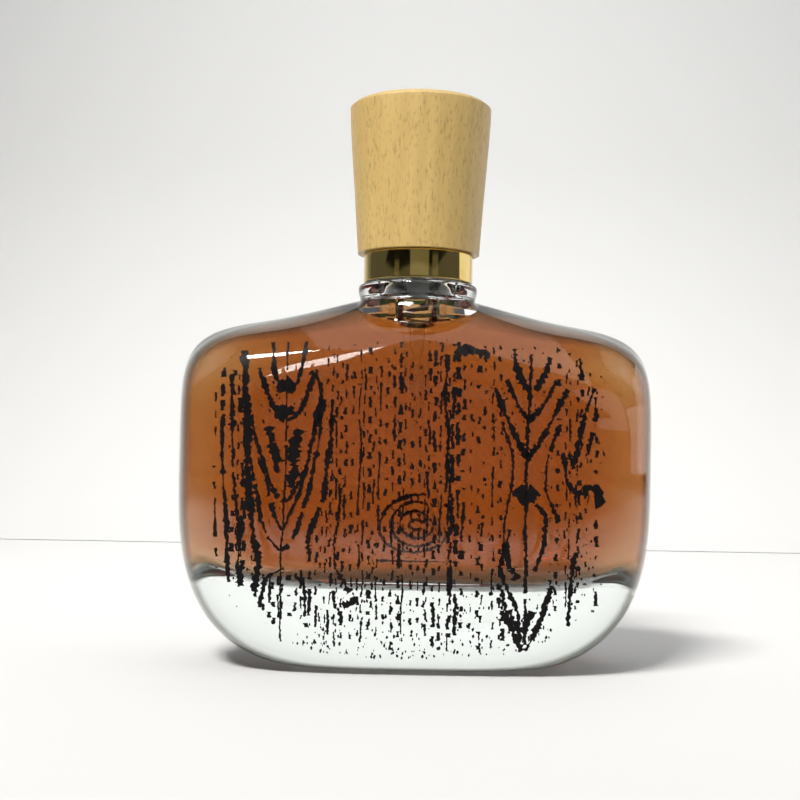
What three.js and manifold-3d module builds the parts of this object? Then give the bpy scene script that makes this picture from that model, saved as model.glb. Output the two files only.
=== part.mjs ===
// A squat glass fragrance bottle with a crimped spray pump, a gold metal collar and a turned wooden cap.
// Units are millimetres. +Z is up, the origin is the middle of the base, and -Y is the decorated broad face.
import * as THREE from "three";
import { mergeVertices } from "three/addons/utils/BufferGeometryUtils.js";
import Module from "manifold-3d";

const wasm = await Module();
wasm.setup();

// ---- Driving dimensions -------------------------------------------------------------------------

const FULL_TURN = 2 * Math.PI;
const FINE = 32; // facets round the large turned pieces
const COARSE = 16; // facets round the small pump pieces
const ROUNDING_STEPS = 2; // chords in each rounded corner of a turned piece
const GAP = 0.3; // what the fragrance keeps clear of the solids round it

// The broad outlines of the glass and of its hollow are measured from BODY_CENTRE_Z. Each has a roof that falls
// from its middle to its shoulders, over roofRun of the half width, and round corners whose tightness is a power:
// 2 is an ellipse, 8 nearly a box.
const BODY_CENTRE_Z = 40.5;
const ROOF_SOFTNESS = 0.08; // takes the crease out of the roof's middle
const GLASS = {
  halfDepth: 18.7,
  faceFlatness: 12,
  edgeRoundness: 2.6,
  roofRun: 0.62,
  middle: { halfWidth: 48.3, rise: 36.6, shoulderRise: 28.7, upperPower: 5.8, drop: 43.5, lowerPower: 3.15 },
  face: { halfWidth: 45.8, rise: 27, shoulderRise: 25, upperPower: 5, drop: 41.5, lowerPower: 3.4 },
  facets: 48,
  rings: 16,
};
const HOLLOW = {
  halfDepth: 14.1,
  faceFlatness: 9,
  edgeRoundness: 2.4,
  roofRun: 0.85,
  middle: { halfWidth: 44.5, rise: 34.3, shoulderRise: 23.4, upperPower: 4.6, drop: 25.2, lowerPower: 5 },
  face: { halfWidth: 42.8, rise: 25.5, shoulderRise: 21, upperPower: 4.2, drop: 24.2, lowerPower: 4.8 },
  facets: 40,
  rings: 12,
};
const PUSH_UP = { halfWidth: 21, halfDepth: 8, height: 0.9 }; // the shallow hollow under the base

const NECK_ROOT_Z = 73.9;
const NECK_ROOT_R = 13.2;
const BEAD_TOP_Z = 77.3; // top of the glass ring that the collar stands on
const BEAD_R = 12.2;
const FINISH_R = 6.6; // the glass neck inside the collar
const CRIMP_R = 7.45; // the lip that the ferrule is crimped under
const LIP_Z = 84.9;
const BORE_R = 5.1;
const FILL_Z = 72.6; // level of the fragrance, in the neck root

const HOUSING_R = 4.3;
const CHAMBER_R = 3.1;
const CHAMBER_FLOOR_Z = 64.2;
const CHAMBER_TOP_Z = 82.3;
const COUNTERBORE_R = 3.65; // the wider bore over the chamber, for the seal and the turret
const SEAL_TOP_Z = 83.3;
const TURRET_R = 4.75;
const TURRET_TOP_Z = 88.8;
const SOCKET_R = 1.25; // the hole that takes the dip tube
const SOCKET_Z = 55.5;
const SOCKET_TOP_Z = 60.3;
const SEAT_R = 0.6; // the small hole that the inlet ball shuts
const SEAT_Z = 61.4;
const FLANGE_R = 7.2;
const FLANGE_Z = 85.8;
const FLANGE_TOP_Z = 86.5;
const STEM_R = 1.7;
const STEM_BORE_R = 0.7;
const STEM_TOP_Z = 96.9;
const PISTON_Z = 76.9;
const TUBE_R = 1.15;
const TUBE_BORE_R = 0.75;
const TUBE_END = { x: 9, z: 16.8 };
const SPRING = { radius: 2.3, wire: 0.22, bottomZ: 64.5, topZ: 73.3, turns: 6 };
const BALL_R = 1;
const BALL_Z = 62.5;

const CRIMP_Z = 81.1; // where the glass widens to its lip, and the ferrule is rolled in under it
const FERRULE_R = 7.95;
const FERRULE_WALL = 0.35;
const FERRULE_TOP_Z = 86.9;
const FERRULE_HOLE_R = 5;

const COLLAR_R = 11.2;
const COLLAR_BOTTOM_Z = 77.5;
const LEDGE_Z = 83.4; // the step that the cap rests on
const BOSS_R = 9.7; // the upper part of the collar, which the cap grips
const BOSS_TOP_Z = 91.5;
const COLLAR_WALL = 0.4;
const BUTTON_HOLE_R = 6.9;

const BUTTON_R = 6.3;
const BUTTON_BOTTOM_Z = 90.7;
const BUTTON_TOP_Z = 101.1;
const SHELL_WALL = 0.3; // the button's metal skin
const NOZZLE_Z = 97.5;
const NOZZLE_R = 1.5;

const CAP_BOTTOM_Z = 83.5;
const CAP_BOTTOM_R = 12.6;
const CAP_RIM_Z = 114.3;
const CAP_RIM_R = 14.55;
const CAP_TOP_Z = 115;
const CAP_BORE_R = 10.7;
const CAP_BORE_TOP_Z = 108.5;
const LINER_GRIP_R = 9.85;
const LINER_ROOM_R = 8.6;

// ---- Materials ----------------------------------------------------------------------------------

const material = (color, roughness, metalness = 0, opacity = 1) =>
  new THREE.MeshStandardMaterial({ color, roughness, metalness, opacity, transparent: opacity < 1 });

const CLEAR_GLASS = material(0xe9efee, 0.03, 0, 0.35);
const AMBER = material(0x8c3f12, 0.05, 0, 0.8);
const GOLD = material(0xe6c766, 0.12, 1);
const ALUMINIUM = material(0xc9ccd0, 0.3, 1);
const STEEL = material(0xb8bcc2, 0.25, 1);
const BEECH = material(0xd9b473, 0.55);
const NATURAL_PLASTIC = material(0xf1f0ea, 0.4);
const CLEAR_TUBE = material(0xf4f4f0, 0.15, 0, 0.5);
const RUBBER = material(0xd8d8d4, 0.7);

// ---- Geometry helpers ---------------------------------------------------------------------------

// A closed geometry as a solid that can be cut and joined.
function solid(geometry) {
  const bare = geometry.index ? geometry.toNonIndexed() : geometry.clone();
  bare.deleteAttribute("normal");
  bare.deleteAttribute("uv");
  const merged = mergeVertices(bare, 1e-4);
  return new wasm.Manifold(
    new wasm.Mesh({
      numProp: 3,
      vertProperties: merged.attributes.position.array,
      triVerts: new Uint32Array(merged.index.array),
    }),
  );
}

function geometryOf(shape) {
  const mesh = shape.getMesh();
  const geometry = new THREE.BufferGeometry();
  geometry.setAttribute("position", new THREE.BufferAttribute(mesh.vertProperties, 3));
  geometry.setIndex(new THREE.BufferAttribute(mesh.triVerts, 1));
  geometry.computeVertexNormals();
  return geometry;
}

// A profile from corners [radius, height, rounding]. A rounded corner is a short curve that begins and ends
// that far from it. A ring's profile comes back to its first corner.
function profile(corners, ring = false) {
  const points = corners.map(([r, z]) => new THREE.Vector2(r, z));
  const path = new THREE.Path();
  path.moveTo(points[0].x, points[0].y);
  points.slice(1).forEach((corner, index) => {
    const rounding = corners[index + 1][2] ?? 0;
    const next = points[index + 2];
    if (!rounding || !next) {
      path.lineTo(corner.x, corner.y);
      return;
    }
    const into = corner.clone().sub(points[index]).setLength(rounding);
    const out = next.clone().sub(corner).setLength(rounding);
    path.lineTo(corner.x - into.x, corner.y - into.y);
    path.quadraticCurveTo(corner.x, corner.y, corner.x + out.x, corner.y + out.y);
  });
  if (ring) path.lineTo(points[0].x, points[0].y);
  return path.getPoints(ROUNDING_STEPS);
}

// Turned pieces list their corners up the outside and back down the inside or the axis.
function turned(corners, { ring = false, facets = COARSE } = {}) {
  return new THREE.LatheGeometry(profile(corners, ring), facets).rotateX(Math.PI / 2);
}

function cylinder(radius, bottomZ, topZ, facets = COARSE) {
  return turned([[0, bottomZ], [radius, bottomZ], [radius, topZ], [0, topZ]], { facets });
}

// A cylinder that lies along Y, turned a little so that its edges miss those of the turned pieces it cuts.
function sideways(radius, nearY, farY, z) {
  return new THREE.CylinderGeometry(radius, radius, farY - nearY, COARSE)
    .rotateY(0.1)
    .translate(0, (nearY + farY) / 2, z);
}

// The largest radius, from 0 to limit, at which inside() still holds.
function furthest(inside, limit) {
  let low = 0;
  let high = limit;
  for (let step = 0; step < 40; step += 1) {
    const middle = (low + high) / 2;
    if (inside(middle)) low = middle;
    else high = middle;
  }
  return low;
}

function outlineRadius(outline, roofRun, angle) {
  const across = Math.abs(Math.cos(angle));
  const up = Math.sin(angle);
  return furthest((radius) => {
    const x = (radius * across) / outline.halfWidth;
    const run = Math.hypot(x, ROOF_SOFTNESS) / roofRun;
    const fall = ((outline.rise - outline.shoulderRise) * run) / (1 + run ** 8) ** (1 / 8);
    const height = up > 0 ? outline.rise - fall : outline.drop;
    const power = up > 0 ? outline.upperPower : outline.lowerPower;
    return x ** power + ((radius * Math.abs(up)) / height) ** power < 1;
  }, 100);
}

// Draws a sphere's even facets together where the cushion turns its corners.
const crowded = (value) => Math.sign(value) * Math.abs(value) ** 0.8;
const FACET_ASPECT = 0.8;

// A cushion shape: its outline goes from the middle one to the face one as it nears either broad face.
function pillow(shape, shrink = 0) {
  const geometry = new THREE.SphereGeometry(1, shape.facets, shape.rings);
  const position = geometry.attributes.position;
  for (let i = 0; i < position.count; i += 1) {
    const [x, y, z] = [position.getX(i), position.getY(i), position.getZ(i)];
    const latitude = Math.atan2(crowded(y), crowded(Math.hypot(x, z)));
    const reach = furthest((r) => {
      const outward = (r * Math.cos(latitude)) ** shape.faceFlatness;
      return outward + (r * Math.abs(Math.sin(latitude))) ** shape.edgeRoundness < 1;
    }, 2);
    const depth = reach * Math.abs(Math.sin(latitude));
    const angle = Math.atan2(crowded(z) * FACET_ASPECT, crowded(x));
    const middle = outlineRadius(shape.middle, shape.roofRun, angle);
    const face = outlineRadius(shape.face, shape.roofRun, angle);
    const radius = reach * Math.cos(latitude) * (middle + (face - middle) * depth - shrink);
    position.setXYZ(
      i,
      radius * Math.cos(angle),
      Math.sign(y) * depth * (shape.halfDepth - shrink),
      BODY_CENTRE_Z + radius * Math.sin(angle),
    );
  }
  return geometry;
}

class Helix extends THREE.Curve {
  getPoint(t) {
    const angle = t * SPRING.turns * FULL_TURN;
    const rise = SPRING.topZ - SPRING.bottomZ - 2 * SPRING.wire;
    return new THREE.Vector3(
      SPRING.radius * Math.cos(angle),
      SPRING.radius * Math.sin(angle),
      SPRING.bottomZ + SPRING.wire + rise * t,
    );
  }
}

function disc(radius, boreRadius = 0) {
  const section = new THREE.Shape().absarc(0, 0, radius, 0, FULL_TURN);
  if (boreRadius) section.holes.push(new THREE.Path().absarc(0, 0, boreRadius, 0, FULL_TURN));
  return section;
}

const part = new THREE.Group();

function add(name, geometry, finish) {
  const mesh = new THREE.Mesh(geometry, finish);
  mesh.name = name;
  part.add(mesh);
}

// ---- Glass and fragrance ------------------------------------------------------------------------

// The hollow under the pump: a straight bore that opens into the shoulders.
function throat(shrink = 0) {
  const wide = 9.4 - shrink;
  return turned([
    [0, 60],
    [wide, 60],
    [wide, 70 - shrink, 2],
    [BORE_R - shrink, BEAD_TOP_Z - 1, 1.5],
    [BORE_R - shrink, LIP_Z + 1],
    [0, LIP_Z + 1],
  ], { facets: FINE });
}

function neckOutside() {
  return turned([
    [0, 60],
    [NECK_ROOT_R, 60],
    [NECK_ROOT_R, NECK_ROOT_Z - 2.5, 1.6],
    [BEAD_R - 0.5, NECK_ROOT_Z, 0.6],
    [BEAD_R, NECK_ROOT_Z + 1.4, 0.8],
    [BEAD_R, BEAD_TOP_Z - 0.6, 0.8],
    [COLLAR_R, BEAD_TOP_Z, 0.6],
    [FINISH_R + 0.6, BEAD_TOP_Z],
    [FINISH_R, BEAD_TOP_Z + 0.6],
    [FINISH_R, CRIMP_Z],
    [CRIMP_R, CRIMP_Z + 0.7],
    [CRIMP_R, LIP_Z, 0.6],
    [0, LIP_Z],
  ], { facets: FINE });
}

// A block, wider than the bottle, with its lower face at bottomZ.
function block(bottomZ, height) {
  return solid(new THREE.BoxGeometry(200, 200, height).translate(0, 0, bottomZ + height / 2));
}

const pushUp = new THREE.SphereGeometry(1, 20, 8).scale(PUSH_UP.halfWidth, PUSH_UP.halfDepth, PUSH_UP.height);
const hollow = solid(pillow(HOLLOW)).add(solid(throat()));
const glass = solid(pillow(GLASS))
  .add(solid(neckOutside()))
  .subtract(block(-50, 50))
  .subtract(solid(pushUp))
  .subtract(hollow);
add("glass_bottle", geometryOf(glass), CLEAR_GLASS);

// ---- Spray pump ---------------------------------------------------------------------------------

// The outside of the housing, larger by room, also cuts its place in the fragrance.
function housingOutside(room = 0) {
  return [
    [SOCKET_R + 1.2 + room, SOCKET_Z - room],
    [SOCKET_R + 1.35 + room, CHAMBER_FLOOR_Z - 2],
    [HOUSING_R + room, CHAMBER_FLOOR_Z + 1.2],
    [HOUSING_R + room, FLANGE_Z],
  ];
}

add("pump_housing", turned([
  ...housingOutside(),
  [FLANGE_R, FLANGE_Z],
  [FLANGE_R, FLANGE_TOP_Z],
  [COUNTERBORE_R, FLANGE_TOP_Z],
  [COUNTERBORE_R, CHAMBER_TOP_Z],
  [CHAMBER_R, CHAMBER_TOP_Z],
  [CHAMBER_R, CHAMBER_FLOOR_Z],
  [SOCKET_R, CHAMBER_FLOOR_Z],
  [SOCKET_R, SEAT_Z + 0.8],
  [SEAT_R, SEAT_Z],
  [SEAT_R, SOCKET_TOP_Z],
  [SOCKET_R, SOCKET_TOP_Z],
  [SOCKET_R, SOCKET_Z],
], { ring: true }), NATURAL_PLASTIC);

add("turret", turned([
  [COUNTERBORE_R - 0.15, SEAL_TOP_Z + 0.05],
  [COUNTERBORE_R - 0.15, FLANGE_TOP_Z + 0.05],
  [TURRET_R, FLANGE_TOP_Z + 0.05],
  [TURRET_R, TURRET_TOP_Z, 0.4],
  [STEM_R + 0.2, TURRET_TOP_Z],
  [STEM_R + 0.2, SEAL_TOP_Z + 0.05],
], { ring: true }), NATURAL_PLASTIC);

add("stem_seal", turned([
  [COUNTERBORE_R - 0.15, CHAMBER_TOP_Z + 0.1],
  [COUNTERBORE_R - 0.15, SEAL_TOP_Z],
  [STEM_R + 0.1, SEAL_TOP_Z],
  [STEM_R + 0.1, CHAMBER_TOP_Z + 0.1],
], { ring: true }), RUBBER);

add("neck_gasket", turned([
  [FLANGE_R + 0.15, LIP_Z + 0.05],
  [FLANGE_R + 0.15, FLANGE_Z - 0.05],
  [BORE_R + 0.1, FLANGE_Z - 0.05],
  [BORE_R + 0.1, LIP_Z + 0.05],
], { ring: true }), RUBBER);

add("ferrule", turned([
  [FINISH_R + 0.4, CRIMP_Z - 0.6],
  [FERRULE_R, CRIMP_Z, 0.4],
  [FERRULE_R, FERRULE_TOP_Z, 0.5],
  [FERRULE_HOLE_R, FERRULE_TOP_Z],
  [FERRULE_HOLE_R, FERRULE_TOP_Z - FERRULE_WALL],
  [FERRULE_R - FERRULE_WALL, FERRULE_TOP_Z - FERRULE_WALL],
  [FERRULE_R - FERRULE_WALL, CRIMP_Z + FERRULE_WALL],
  [FINISH_R + 0.4, CRIMP_Z - 0.2],
], { ring: true, facets: FINE }), ALUMINIUM);

add("inlet_ball", new THREE.SphereGeometry(BALL_R, 10, 6).translate(0, 0, BALL_Z), CLEAR_GLASS);

add("pump_spring", new THREE.ExtrudeGeometry(disc(SPRING.wire), {
  steps: SPRING.turns * 10,
  curveSegments: 3,
  extrudePath: new Helix(),
}), STEEL);

add("valve_pin", turned([
  [0, SPRING.topZ],
  [2.6, SPRING.topZ + 0.1],
  [2.6, SPRING.topZ + 1],
  [1.2, PISTON_Z - 0.3],
  [STEM_BORE_R - 0.1, PISTON_Z],
  [STEM_BORE_R - 0.1, PISTON_Z + 2.5],
  [0, PISTON_Z + 2.9],
]), NATURAL_PLASTIC);

add("piston", turned([
  [2.9, PISTON_Z],
  [2.6, PISTON_Z + 1],
  [2.9, PISTON_Z + 3.2],
  [2.4, PISTON_Z + 3.2],
  [STEM_R + 0.05, PISTON_Z + 2.4],
  [STEM_R + 0.05, PISTON_Z],
], { ring: true }), NATURAL_PLASTIC);

add("stem", turned([
  [STEM_R, PISTON_Z + 0.2],
  [STEM_R, STEM_TOP_Z],
  [STEM_BORE_R, STEM_TOP_Z],
  [STEM_BORE_R, PISTON_Z + 0.2],
], { ring: true }), NATURAL_PLASTIC);

const tubePath = new THREE.CatmullRomCurve3([
  new THREE.Vector3(0, 0, SOCKET_TOP_Z - 0.2),
  new THREE.Vector3(0, 0, SOCKET_Z - 1),
  new THREE.Vector3(1.2, 0, 44),
  new THREE.Vector3(4.4, 0, 30),
  new THREE.Vector3(TUBE_END.x, 0, TUBE_END.z),
]);
const alongTube = (section) =>
  new THREE.ExtrudeGeometry(section, { steps: 12, curveSegments: 4, extrudePath: tubePath });
add("dip_tube", alongTube(disc(TUBE_R, TUBE_BORE_R)), CLEAR_TUBE);

// The fragrance fills the hollow up to its level, round the housing and the dip tube.
const pumpRoom = turned([[0, SOCKET_Z - GAP], ...housingOutside(GAP), [0, FLANGE_Z]]);
const tubeWay = tubePath.getTangent(1);
const underTube = cylinder(TUBE_R + 2 * GAP, -2, 4, 12)
  .rotateY(Math.atan2(tubeWay.x, tubeWay.z))
  .translate(TUBE_END.x, 0, TUBE_END.z);
const fragrance = solid(pillow(HOLLOW, GAP))
  .add(solid(throat(GAP)))
  .subtract(block(FILL_Z, 50))
  .subtract(solid(pumpRoom))
  .subtract(solid(alongTube(disc(TUBE_R + GAP))))
  .subtract(solid(underTube));
add("fragrance", geometryOf(fragrance), AMBER);

// ---- Collar -------------------------------------------------------------------------------------

const insideCollar = COLLAR_WALL + 0.1;
add("collar_liner", turned([
  [COLLAR_R - insideCollar, COLLAR_BOTTOM_Z + 0.3],
  [COLLAR_R - insideCollar, LEDGE_Z - insideCollar],
  [BOSS_R - insideCollar, LEDGE_Z - insideCollar],
  [BOSS_R - insideCollar, BOSS_TOP_Z - 1],
  [FERRULE_R + 0.15, BOSS_TOP_Z - 1],
  [FERRULE_R + 0.15, CRIMP_Z - 0.6],
  [FINISH_R + 0.6, CRIMP_Z - 1],
  [FINISH_R + 0.6, CRIMP_Z - 1.8],
  [FERRULE_R, COLLAR_BOTTOM_Z + 0.3],
], { ring: true, facets: FINE }), NATURAL_PLASTIC);

add("collar", turned([
  [COLLAR_R, COLLAR_BOTTOM_Z],
  [COLLAR_R, LEDGE_Z, 0.35],
  [BOSS_R, LEDGE_Z],
  [BOSS_R, BOSS_TOP_Z, 0.5],
  [BUTTON_HOLE_R, BOSS_TOP_Z],
  [BUTTON_HOLE_R, BOSS_TOP_Z - COLLAR_WALL],
  [BOSS_R - COLLAR_WALL, BOSS_TOP_Z - COLLAR_WALL, 0.2],
  [BOSS_R - COLLAR_WALL, LEDGE_Z - COLLAR_WALL],
  [COLLAR_R - COLLAR_WALL, LEDGE_Z - COLLAR_WALL],
  [COLLAR_R - COLLAR_WALL, COLLAR_BOTTOM_Z],
], { ring: true, facets: FINE }), GOLD);

// ---- Spray button -------------------------------------------------------------------------------

const buttonShell = turned([
  [BUTTON_R, BUTTON_BOTTOM_Z],
  [BUTTON_R, BUTTON_TOP_Z, 0.7],
  [0, BUTTON_TOP_Z - 0.5],
  [0, BUTTON_TOP_Z - 0.5 - SHELL_WALL],
  [BUTTON_R - SHELL_WALL, BUTTON_TOP_Z - SHELL_WALL, 0.5],
  [BUTTON_R - SHELL_WALL, BUTTON_BOTTOM_Z],
  [BUTTON_R, BUTTON_BOTTOM_Z],
], { facets: FINE });
const nozzleWindow = sideways(NOZZLE_R + 0.25, -BUTTON_R - 1, -3, NOZZLE_Z);
add("button_shell", geometryOf(solid(buttonShell).subtract(solid(nozzleWindow))), GOLD);

const insertR = BUTTON_R - SHELL_WALL - 0.1;
const hubR = STEM_R + 1;
const hubBottomZ = BUTTON_BOTTOM_Z + 2.5;
const buttonInsert = turned([
  [hubR, hubBottomZ],
  [hubR, hubBottomZ + 1.9],
  [insertR - 0.9, hubBottomZ + 1.9],
  [insertR - 0.9, BUTTON_BOTTOM_Z + 0.3],
  [insertR, BUTTON_BOTTOM_Z + 0.3],
  [insertR, BUTTON_TOP_Z - 1.3],
  [0, BUTTON_TOP_Z - 1.3],
  [0, NOZZLE_Z + 0.7],
  [STEM_BORE_R, NOZZLE_Z + 0.7],
  [STEM_BORE_R, STEM_TOP_Z + 0.1],
  [STEM_R + 0.1, STEM_TOP_Z + 0.1],
  [STEM_R + 0.1, hubBottomZ],
  [hubR, hubBottomZ],
], { facets: FINE });
const nozzleSeat = sideways(NOZZLE_R + 0.1, -BUTTON_R - 1, -2.6, NOZZLE_Z);
const sprayWay = sideways(0.5, -3, 0, NOZZLE_Z);
const buttonSolid = solid(buttonInsert).subtract(solid(nozzleSeat)).subtract(solid(sprayWay));
add("spray_button", geometryOf(buttonSolid), NATURAL_PLASTIC);

const nozzle = solid(sideways(NOZZLE_R, -BUTTON_R - 0.1, -2.8, NOZZLE_Z))
  .subtract(solid(sideways(0.25, -BUTTON_R - 1, -2, NOZZLE_Z)))
  .subtract(solid(sideways(0.8, -BUTTON_R - 1, -BUTTON_R + 0.25, NOZZLE_Z)));
add("nozzle_insert", geometryOf(nozzle), NATURAL_PLASTIC);

// ---- Cap ----------------------------------------------------------------------------------------

add("cap_liner", turned([
  [CAP_BORE_R - 0.1, CAP_BOTTOM_Z + 0.4],
  [CAP_BORE_R - 0.1, CAP_BORE_TOP_Z - 0.2],
  [0, CAP_BORE_TOP_Z - 0.2],
  [0, CAP_BORE_TOP_Z - 1.4],
  [LINER_ROOM_R, CAP_BORE_TOP_Z - 1.4],
  [LINER_ROOM_R, BOSS_TOP_Z + 0.9],
  [LINER_GRIP_R, BOSS_TOP_Z + 0.4],
  [LINER_GRIP_R, CAP_BOTTOM_Z + 0.4],
  [CAP_BORE_R - 0.1, CAP_BOTTOM_Z + 0.4],
], { facets: FINE }), NATURAL_PLASTIC);

add("wood_cap", turned([
  [CAP_BORE_R, CAP_BOTTOM_Z],
  [CAP_BOTTOM_R, CAP_BOTTOM_Z, 0.5],
  [CAP_RIM_R, CAP_RIM_Z, 1.6],
  [0, CAP_TOP_Z],
  [0, CAP_BORE_TOP_Z],
  [CAP_BORE_R, CAP_BORE_TOP_Z],
  [CAP_BORE_R, CAP_BOTTOM_Z],
], { facets: FINE }), BEECH);

export default part;
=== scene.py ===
import math
from random import Random

import bpy
import numpy as np
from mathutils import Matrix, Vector, noise


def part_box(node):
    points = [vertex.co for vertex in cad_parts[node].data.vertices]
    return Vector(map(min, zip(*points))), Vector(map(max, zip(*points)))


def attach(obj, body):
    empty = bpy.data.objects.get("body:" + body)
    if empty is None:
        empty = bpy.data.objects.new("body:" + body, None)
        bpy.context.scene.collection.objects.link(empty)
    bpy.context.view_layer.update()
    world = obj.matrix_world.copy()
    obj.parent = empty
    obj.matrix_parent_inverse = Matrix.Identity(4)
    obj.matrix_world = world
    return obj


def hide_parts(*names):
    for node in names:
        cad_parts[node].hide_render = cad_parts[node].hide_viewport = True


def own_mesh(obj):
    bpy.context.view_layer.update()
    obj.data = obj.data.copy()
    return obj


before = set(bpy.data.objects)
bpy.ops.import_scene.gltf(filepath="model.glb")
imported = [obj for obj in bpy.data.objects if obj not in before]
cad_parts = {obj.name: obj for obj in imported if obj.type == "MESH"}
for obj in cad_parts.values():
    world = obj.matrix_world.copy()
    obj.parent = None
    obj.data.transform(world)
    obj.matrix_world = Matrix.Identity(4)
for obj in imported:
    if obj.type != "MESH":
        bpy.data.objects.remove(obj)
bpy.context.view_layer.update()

MM = 0.001

# ---- The bench: table, backdrop, lights and camera -----------------------------------------------
# The bottle stands on a pale table in front of a pale sweep. The window stands high in front, to the left.
# The rest of the room is pale overhead and dim behind the camera, where the polished collar looks.

scene = bpy.context.scene
scene.view_settings.view_transform = "Standard"
scene.cycles.max_bounces = 24
scene.cycles.transmission_bounces = 24
scene.cycles.glossy_bounces = 8
scene.cycles.transparent_max_bounces = 24

TABLE_SIZE = 2.4  # metres, as is everything in this section
SWEEP_START = 0.30  # how far behind the bottle the backdrop begins to rise from the table
SWEEP_RADIUS = 0.22
SWEEP_LENGTH = 0.62
SWEEP_LIFT = 0.0002  # keeps its near edge clear of the table top
SWEEP_LEFT, SWEEP_RIGHT = -0.90, 0.45  # it ends sooner on the right, where the room is dark


def deselect():
    for thing in bpy.context.selected_objects:
        thing.select_set(False)


def choose(piece):
    deselect()
    piece.select_set(True)
    bpy.context.view_layer.objects.active = piece
    return piece


def named(name):
    piece = bpy.context.object
    piece.name = name
    piece.data.name = name
    return piece


def placed(name, data):
    piece = bpy.data.objects.new(name, data)
    scene.collection.objects.link(piece)
    return choose(piece)


def new_material(name):
    material = bpy.data.materials.new(name)
    material.use_nodes = True
    return material, material.node_tree.nodes["Principled BSDF"]


def give(piece, material):
    piece.data.materials.clear()
    piece.data.materials.append(material)


deselect()
bpy.ops.mesh.primitive_plane_add(size=TABLE_SIZE, location=(0, 0, 0))
table_top = named("table_top")
deselect()
bpy.ops.mesh.primitive_grid_add(x_subdivisions=1, y_subdivisions=64, size=1)
backdrop = named("backdrop")
for corner in backdrop.data.vertices:
    run = (corner.co.y + 0.5) * SWEEP_LENGTH
    turn = min(run / SWEEP_RADIUS, math.pi / 2)
    climb = max(run - SWEEP_RADIUS * math.pi / 2, 0)
    rise = SWEEP_RADIUS * (1 - math.cos(turn)) + climb + SWEEP_LIFT
    across = SWEEP_LEFT + (corner.co.x + 0.5) * (SWEEP_RIGHT - SWEEP_LEFT)
    corner.co = (across, SWEEP_START + SWEEP_RADIUS * math.sin(turn), rise)
bpy.ops.object.shade_smooth()

plaster, shader = new_material("pale_plaster")
shader.inputs["Base Color"].default_value = (0.80, 0.80, 0.79, 1)
shader.inputs["Roughness"].default_value = 0.8
for piece in (table_top, backdrop):
    give(piece, plaster)

world = bpy.data.worlds.new("dim_room")
world.use_nodes = True
world.node_tree.nodes["Background"].inputs["Color"].default_value = (0.30, 0.31, 0.33, 1)
world.node_tree.nodes["Background"].inputs["Strength"].default_value = 0.30
scene.world = world


def area_light(name, place, target, size, power, colour=(1, 1, 1), spread=180):
    deselect()
    bpy.ops.object.light_add(type="AREA", location=place)
    lamp = bpy.context.object
    lamp.name = name
    lamp.data.shape = "RECTANGLE"
    lamp.data.size, lamp.data.size_y = size
    lamp.data.energy = power
    lamp.data.color = colour
    lamp.data.spread = math.radians(spread)
    lamp.rotation_euler = (Vector(target) - Vector(place)).to_track_quat("-Z", "Y").to_euler()
    return lamp


def glow(name, place, target, size, brightness, colour=(1, 1, 1)):
    """A soft panel of even brightness, for the reflections."""
    return area_light(name, place, target, size, brightness * math.pi * size[0] * size[1], colour)


area_light("window_light", (-0.42, -0.68, 1.12), (0, 0.08, 0), (0.42, 0.22), 2.3, (1, 0.98, 0.95), 60)
area_light("backdrop_light", (0, 0.12, 0.62), (0, 0.52, 0.08), (0.36, 0.06), 0.40, spread=100)
# The pale room's own light fills the shadow. It is too even to be seen as a shape in the glass.
for name, place, size, brightness in (
    ("ceiling", (0.15, 0.05, 1.10), (1.20, 1.20), 0.85),
    ("right_fill", (0.90, -0.35, 0.50), (0.90, 0.70), 0.6),
):
    glow(name, place, (0, 0, 0.04), size, brightness).visible_glossy = False
glow("right_panel", (0.72, 0.42, 0.22), (0, 0, 0.08), (0.75, 0.40), 0.9)
glow("left_panel", (-0.36, 0.66, 0.22), (0, 0, 0.08), (0.26, 0.35), 0.9)
# Dim strips low behind the camera: the room's brighter parts, for the bands on the polished collar.
for x, width, brightness in ((-0.62, 0.16, 0.10), (0.02, 0.42, 0.16), (0.42, 0.16, 0.09)):
    glow("room_strip", (x, -0.60, 0.18), (0, 0, 0.08), (width, 0.12), brightness, (1, 0.97, 0.82))

# A dark card between the table and the window keeps the lit table from veiling the front of the glass.
deselect()
bpy.ops.mesh.primitive_plane_add(size=1, location=(-0.15, -0.66, 0.26))
shade_card = named("shade_card")
shade_card.scale = (1.7, 0.72, 1)
black_card, shader = new_material("black_card")
shader.inputs["Base Color"].default_value = (0.02, 0.02, 0.02, 1)
shader.inputs["Roughness"].default_value = 0.9
give(shade_card, black_card)

CAMERA_PLACE = (-0.0031, -0.267, 0.0445)
CAMERA_WIDTH = math.radians(2 * 17.1027)
CAMERA_TILT = math.radians(1.9385)
CAMERA_ROLL = math.radians(-1.03)
camera_data = bpy.data.cameras.new("camera")
camera_data.sensor_width = 36
camera_data.angle = CAMERA_WIDTH
camera_data.clip_start = 0.01
camera = bpy.data.objects.new("camera", camera_data)
scene.collection.objects.link(camera)
camera.location = CAMERA_PLACE
camera.rotation_euler = (math.pi / 2 + CAMERA_TILT, CAMERA_ROLL, 0)
scene.camera = camera

# ---- Glass bottle --------------------------------------------------------------------------------
# One moulded piece of clear flint glass: a cushion with a heavy base, round shoulders and a round neck. The
# hollow is the same kind of cushion, set high, so the base is far thicker than the walls.

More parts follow.
